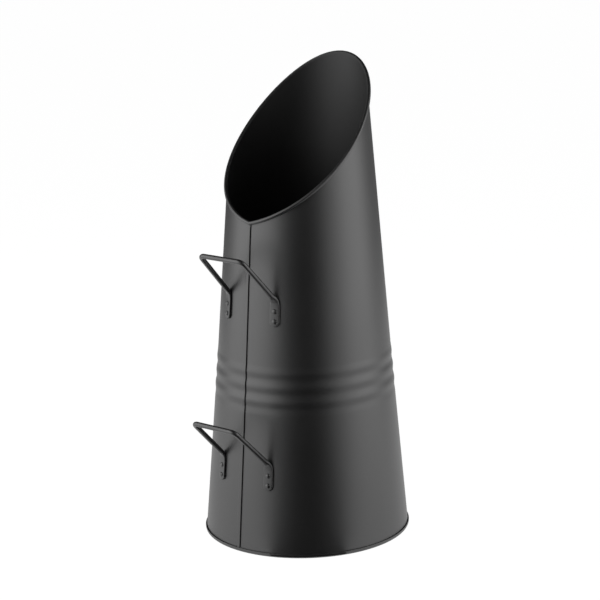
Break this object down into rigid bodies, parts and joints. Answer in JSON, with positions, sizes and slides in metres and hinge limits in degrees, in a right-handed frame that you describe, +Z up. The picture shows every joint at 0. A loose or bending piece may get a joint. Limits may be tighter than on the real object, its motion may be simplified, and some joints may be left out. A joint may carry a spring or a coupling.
{
  "type": "coal scuttle",
  "caption": "Tall tapered sheet-steel coal scuttle with a slanting wired mouth, swaged beads and fixed riveted bar handles, for carrying and pouring coal.",
  "frame": {"origin": "centre of the base's underside, on the surface that the scuttle stands on", "axes": "+Z up, -Y towards the side seam, the low point of the mouth and both handles, +Y towards the tall lip"},
  "size_m": [0.2524, 0.29, 0.5773],
  "materials": {
    "body_coat": "matte black powder coat",
    "handle_coat": "satin black powder coat",
    "wire_steel": "black coated steel wire"
  },
  "bodies": {
    "root": {"body_shell": "body_coat", "rim_wire": "wire_steel", "base_pan": "body_coat", "upper_handle": "handle_coat", "lower_handle": "handle_coat", "rivet_upper_left_top": "handle_coat", "rivet_upper_left_bottom": "handle_coat", "rivet_upper_right_top": "handle_coat", "rivet_upper_right_bottom": "handle_coat", "rivet_lower_left_top": "handle_coat", "rivet_lower_left_bottom": "handle_coat", "rivet_lower_right_top": "handle_coat", "rivet_lower_right_bottom": "handle_coat"}
  },
  "joints": []
}
